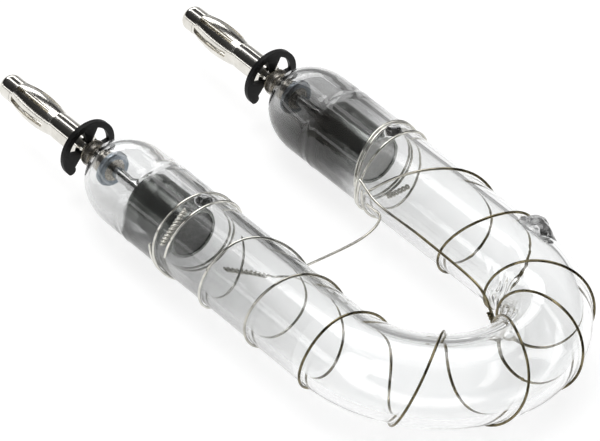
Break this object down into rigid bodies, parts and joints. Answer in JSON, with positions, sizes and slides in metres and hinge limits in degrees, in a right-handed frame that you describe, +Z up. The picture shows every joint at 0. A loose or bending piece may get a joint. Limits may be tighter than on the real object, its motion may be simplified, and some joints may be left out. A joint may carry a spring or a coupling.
{
  "type": "flash tube",
  "caption": "U-shaped clear glass xenon flash tube with lantern plugs, retaining clips and a wound trigger wire.",
  "frame": {"origin": "midway between the two plug axes, in the plane of the front faces of the retaining clips", "axes": "+Y along the plugs, out of their tips; +X across the legs, from the left leg to the right one; +Z up, square to the plane of the U"},
  "size_m": [0.0482, 0.0963, 0.0151],
  "materials": {
    "clear_glass": "clear, polished",
    "dark_nickel": "brushed, darkened by heat",
    "seal_metal": "dull blue-grey",
    "tungsten": "drawn",
    "electrode_metal": "satin, turned",
    "sintered_emitter": "matt, fine grained",
    "nickel_plate": "bright nickel plate",
    "spring_nickel": "bright nickel plate",
    "black_steel": "black, phosphated",
    "trigger_wire": "drawn, lightly tarnished"
  },
  "bodies": {
    "flash_tube": {"bend_coil": "trigger_wire", "bend_twist": "trigger_wire", "bridge_twist": "trigger_wire", "bridge_wire": "trigger_wire", "exhaust_tip": "clear_glass", "glass_tube": "clear_glass", "left_band": "trigger_wire", "left_band_twist": "trigger_wire", "left_collar": "dark_nickel", "left_electrode_rod": "tungsten", "left_electrode_shell": "electrode_metal", "left_emitter": "sintered_emitter", "left_end_dome": "clear_glass", "left_leg_coil": "trigger_wire", "left_locating_bead": "clear_glass", "left_plug_pin": "nickel_plate", "left_seal_sleeve": "seal_metal", "left_stem": "dark_nickel", "right_band": "trigger_wire", "right_band_twist": "trigger_wire", "right_collar": "dark_nickel", "right_electrode_rod": "tungsten", "right_electrode_shell": "electrode_metal", "right_emitter": "sintered_emitter", "right_end_dome": "clear_glass", "right_leg_coil": "trigger_wire", "right_locating_bead": "clear_glass", "right_plug_pin": "nickel_plate", "right_seal_sleeve": "seal_metal", "right_stem": "dark_nickel", "tie_wire": "trigger_wire"},
    "left_cage": {"left_contact_cage": "spring_nickel"},
    "right_cage": {"right_contact_cage": "spring_nickel"},
    "left_clip": {"left_retaining_clip": "black_steel"},
    "right_clip": {"right_retaining_clip": "black_steel"}
  },
  "joints": [
    {"name": "left_cage_turn", "type": "hinge", "parent": "flash_tube", "child": "left_cage", "pos_m": [-0.017, 0.01055, 0], "axis": [0, 1, 0], "continuous": true},
    {"name": "left_clip_turn", "type": "hinge", "parent": "flash_tube", "child": "left_clip", "pos_m": [-0.017, -0.00035, 0], "axis": [0, 1, 0], "continuous": true},
    {"name": "right_cage_turn", "type": "hinge", "parent": "flash_tube", "child": "right_cage", "pos_m": [0.017, 0.01055, 0], "axis": [0, 1, 0], "continuous": true},
    {"name": "right_clip_turn", "type": "hinge", "parent": "flash_tube", "child": "right_clip", "pos_m": [0.017, -0.00035, 0], "axis": [0, 1, 0], "continuous": true}
  ]
}
